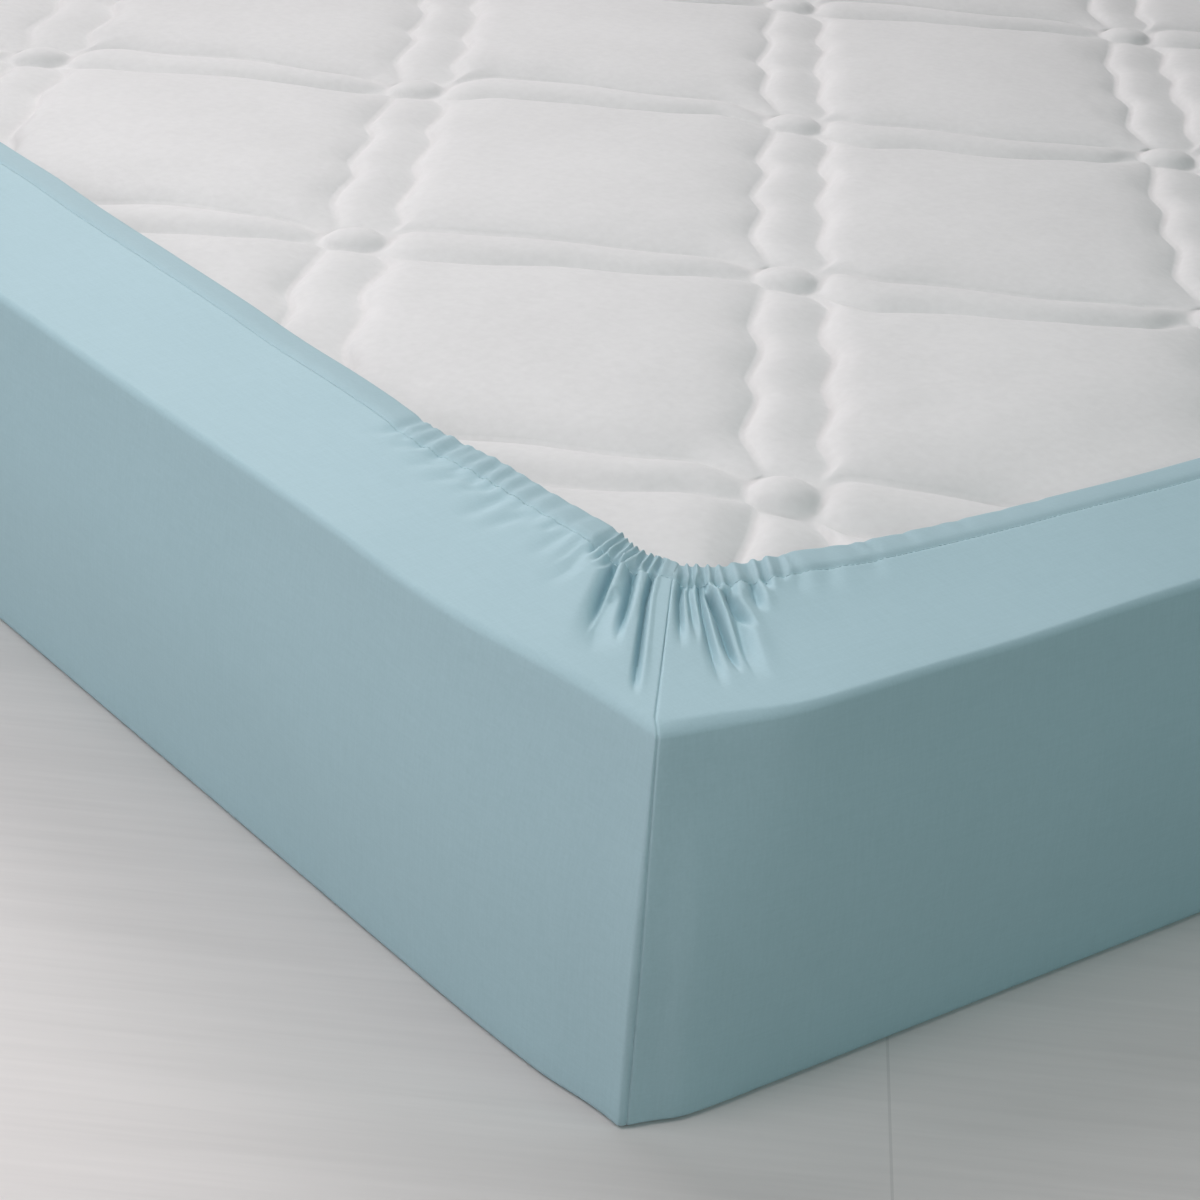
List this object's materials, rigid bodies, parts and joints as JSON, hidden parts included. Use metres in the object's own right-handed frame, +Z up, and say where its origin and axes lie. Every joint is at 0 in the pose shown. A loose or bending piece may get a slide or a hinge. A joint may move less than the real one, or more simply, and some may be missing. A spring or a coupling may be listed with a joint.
{
  "type": "fitted sheet on a mattress",
  "caption": "Plain pale blue-green fitted sheet stretched over an upturned 140 x 200 x 20 cm mattress, its elasticated hem gathered at the corners.",
  "frame": {"origin": "on the floor under the middle of the covered mattress", "axes": "+X along the short side, +Y along the long side, +Z up"},
  "size_m": [1.411, 2.013, 0.2092],
  "materials": {
    "sheet_cotton": "matte woven cotton",
    "mattress_knit": "matte brushed knit"
  },
  "bodies": {
    "root": {"fitted_sheet": "sheet_cotton", "mattress": "mattress_knit"}
  },
  "joints": []
}
